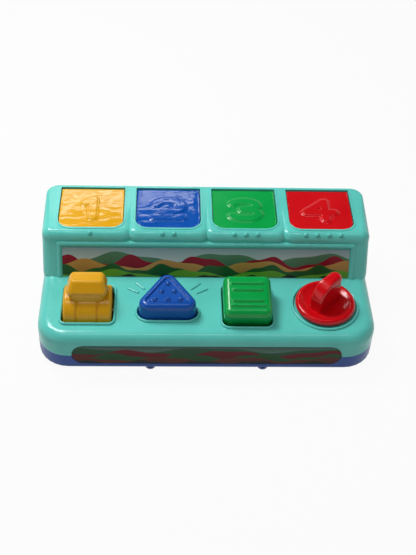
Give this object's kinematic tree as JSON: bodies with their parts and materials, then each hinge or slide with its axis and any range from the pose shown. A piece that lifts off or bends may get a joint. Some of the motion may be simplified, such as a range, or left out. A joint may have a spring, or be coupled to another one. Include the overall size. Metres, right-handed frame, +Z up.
{
  "type": "pop up animal toy",
  "caption": "Pop up animal toy with a pull lever, push button, click rocker and twist knob that free numbered flap lids.",
  "frame": {"origin": "centre of the bounding box in plan, at table level under the feet", "axes": "+X along the row of controls to the right of a child who faces them, +Y from the controls back to the lids, +Z up"},
  "size_m": [0.306, 0.164, 0.0842],
  "materials": {
    "teal_plastic": "gloss",
    "blue_plastic": "gloss",
    "yellow_plastic": "gloss",
    "green_plastic": "gloss",
    "red_plastic": "gloss",
    "white_plastic": "matte",
    "printed_film": "gloss",
    "steel": "brushed",
    "cow_plastic": "gloss",
    "pig_plastic": "gloss",
    "hen_plastic": "gloss",
    "horse_plastic": "gloss"
  },
  "bodies": {
    "case": {"top_shell": "teal_plastic", "base_tray": "blue_plastic", "riser_panel": "printed_film", "front_panel": "printed_film", "pocket_1": "white_plastic", "pocket_2": "white_plastic", "pocket_3": "white_plastic", "pocket_4": "white_plastic", "feet": "blue_plastic", "housing_screws": "steel", "tray_screws": "steel", "hinge_pins": "steel", "latch_spring_1": "steel", "latch_spring_2": "steel", "latch_spring_3": "steel", "latch_spring_4": "steel", "lid_springs": "steel", "lever_axle": "steel", "lever_spring": "steel", "button_spring": "steel", "rocker_axle": "steel", "rocker_spring": "steel", "knob_spring": "steel"},
    "lid_body_1": {"lid_1": "yellow_plastic", "cow_figure": "cow_plastic"},
    "lid_body_2": {"lid_2": "blue_plastic", "pig_figure": "pig_plastic"},
    "lid_body_3": {"lid_3": "green_plastic", "hen_figure": "hen_plastic"},
    "lid_body_4": {"lid_4": "red_plastic", "horse_figure": "horse_plastic"},
    "latch_body_1": {"latch_1": "white_plastic", "catch_1": "white_plastic"},
    "latch_body_2": {"latch_2": "white_plastic", "catch_2": "white_plastic"},
    "latch_body_3": {"latch_3": "white_plastic", "catch_3": "white_plastic"},
    "latch_body_4": {"latch_4": "white_plastic", "catch_4": "white_plastic"},
    "lever": {"pull_lever": "yellow_plastic"},
    "button": {"push_button": "blue_plastic"},
    "rocker": {"click_rocker": "green_plastic"},
    "knob": {"twist_knob": "red_plastic", "knob_shaft": "white_plastic", "knob_clip": "steel"}
  },
  "joints": [
    {"name": "lever_pull", "type": "hinge", "parent": "case", "child": "lever", "pos_m": [-0.108, -0.04085, 0.036], "axis": [1, 0, 0], "range_deg": [0, 30], "stiffness_Nm_per_rad": 0.15},
    {"name": "button_push", "type": "slide", "parent": "case", "child": "button", "axis": [0, 0, -1], "range_m": [0, 0.0045], "stiffness_N_per_m": 400, "deforming": ["button_spring"]},
    {"name": "rocker_click", "type": "hinge", "parent": "case", "child": "rocker", "pos_m": [0.036, -0.04275, 0.036], "axis": [-1, 0, 0], "range_deg": [0, 18], "stiffness_Nm_per_rad": 0.12, "deforming": ["rocker_spring"]},
    {"name": "knob_twist", "type": "hinge", "parent": "case", "child": "knob", "pos_m": [0.108, -0.04005, 0.043], "axis": [0, 0, -1], "range_deg": [0, 40], "stiffness_Nm_per_rad": 0.08},
    {"name": "latch_slide_1", "type": "slide", "parent": "case", "child": "latch_body_1", "axis": [0, 1, 0], "range_m": [0, 0.0046], "deforming": ["latch_spring_1"]},
    {"name": "latch_slide_2", "type": "slide", "parent": "case", "child": "latch_body_2", "axis": [0, 1, 0], "range_m": [0, 0.0046], "deforming": ["latch_spring_2"]},
    {"name": "latch_slide_3", "type": "slide", "parent": "case", "child": "latch_body_3", "axis": [0, 1, 0], "range_m": [0, 0.0046], "deforming": ["latch_spring_3"]},
    {"name": "latch_slide_4", "type": "slide", "parent": "case", "child": "latch_body_4", "axis": [0, 1, 0], "range_m": [0, 0.0046], "deforming": ["latch_spring_4"]},
    {"name": "lid_hinge_1", "type": "hinge", "parent": "case", "child": "lid_body_1", "pos_m": [-0.108, 0.07215, 0.078], "axis": [-1, 0, 0], "range_deg": [0, 92], "deforming": ["catch_1"]},
    {"name": "lid_hinge_2", "type": "hinge", "parent": "case", "child": "lid_body_2", "pos_m": [-0.036, 0.07215, 0.078], "axis": [-1, 0, 0], "range_deg": [0, 92], "deforming": ["catch_2"]},
    {"name": "lid_hinge_3", "type": "hinge", "parent": "case", "child": "lid_body_3", "pos_m": [0.036, 0.07215, 0.078], "axis": [-1, 0, 0], "range_deg": [0, 92], "deforming": ["catch_3"]},
    {"name": "lid_hinge_4", "type": "hinge", "parent": "case", "child": "lid_body_4", "pos_m": [0.108, 0.07215, 0.078], "axis": [-1, 0, 0], "range_deg": [0, 92], "deforming": ["catch_4"]}
  ],
  "couplings": [
    {"joint": "latch_slide_1", "follows": "lever_pull", "m_per_rad": 0.008403},
    {"joint": "latch_slide_2", "follows": "button_push", "ratio": 1},
    {"joint": "latch_slide_3", "follows": "rocker_click", "m_per_rad": 0.012115},
    {"joint": "latch_slide_4", "follows": "knob_twist", "m_per_rad": 0.006445}
  ]
}
